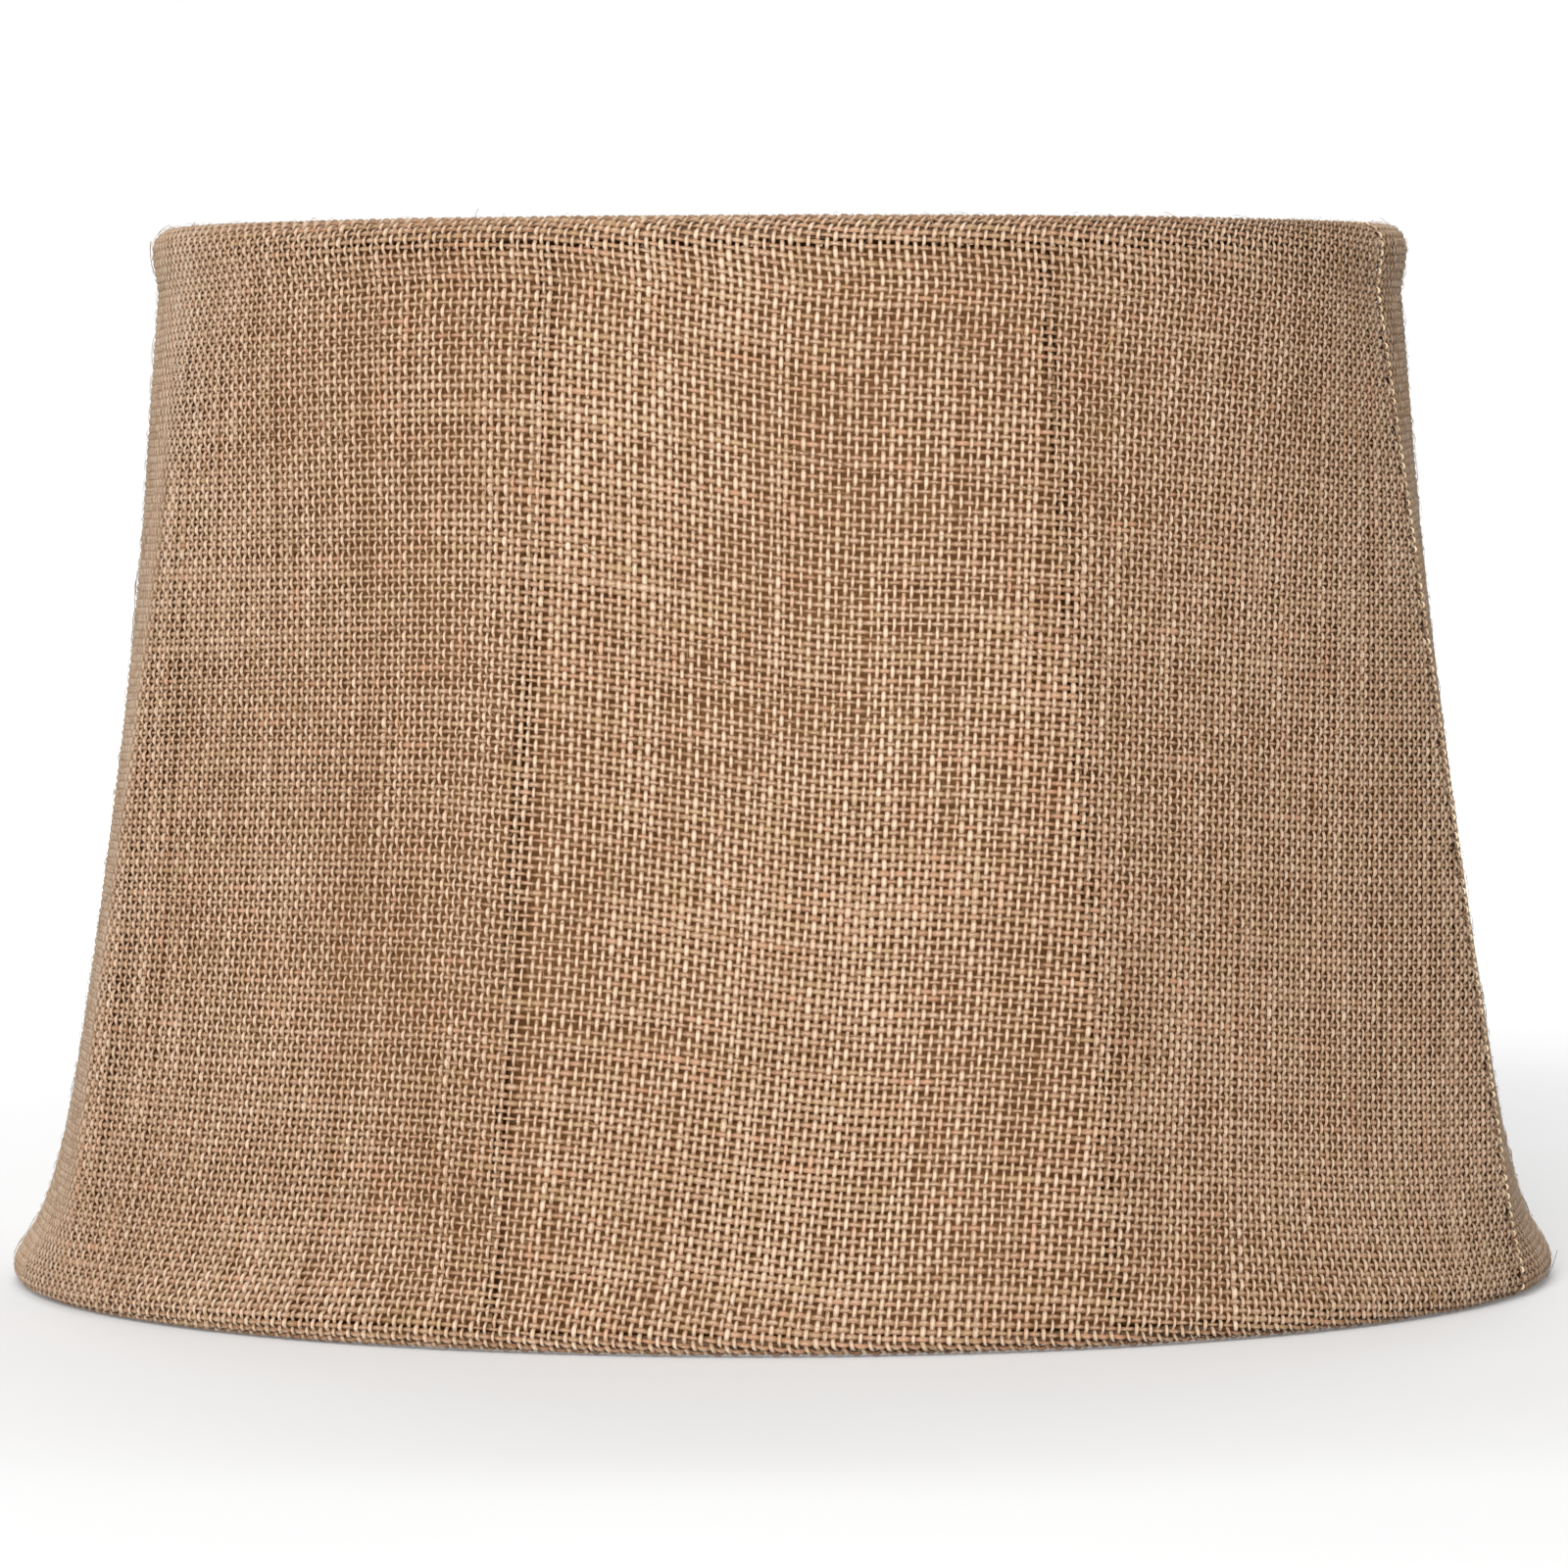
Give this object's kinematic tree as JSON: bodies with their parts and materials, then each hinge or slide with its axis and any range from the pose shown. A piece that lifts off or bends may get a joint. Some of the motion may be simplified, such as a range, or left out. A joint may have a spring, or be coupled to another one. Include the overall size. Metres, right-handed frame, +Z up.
{
  "type": "lamp shade",
  "caption": "Soft-back lamp shade, a gently flared drum: burlap cover rolled over wire rings, straight ribs, cloth lining and a dropped spider fitter with a washer.",
  "frame": {"origin": "centre of the bottom edge", "axes": "+Z up along the shade's axis, -Y is the front"},
  "size_m": [0.4066, 0.4066, 0.2762],
  "materials": {
    "burlap": "coarse natural jute weave, matt",
    "lining": "brown plain woven lining, matt",
    "ring_tape": "brown cotton tape",
    "seam_thread": "sewing thread",
    "frame_wire": "steel wire with a dull brown lacquer",
    "spider_wire": "brass plated steel"
  },
  "bodies": {
    "root": {"cover_front": "burlap", "cover_back": "burlap", "lining_front": "lining", "lining_back": "lining", "ring_tape_top": "ring_tape", "ring_tape_bottom": "ring_tape", "seam_thread_right": "seam_thread", "seam_thread_left": "seam_thread", "top_ring": "frame_wire", "bottom_ring": "frame_wire", "rib_1": "frame_wire", "rib_2": "frame_wire", "rib_3": "frame_wire", "rib_4": "frame_wire", "rib_5": "frame_wire", "rib_6": "frame_wire", "rib_7": "frame_wire", "rib_8": "frame_wire", "spider_arm_1": "spider_wire", "spider_arm_2": "spider_wire", "spider_arm_3": "spider_wire", "spider_washer": "spider_wire"}
  },
  "joints": []
}
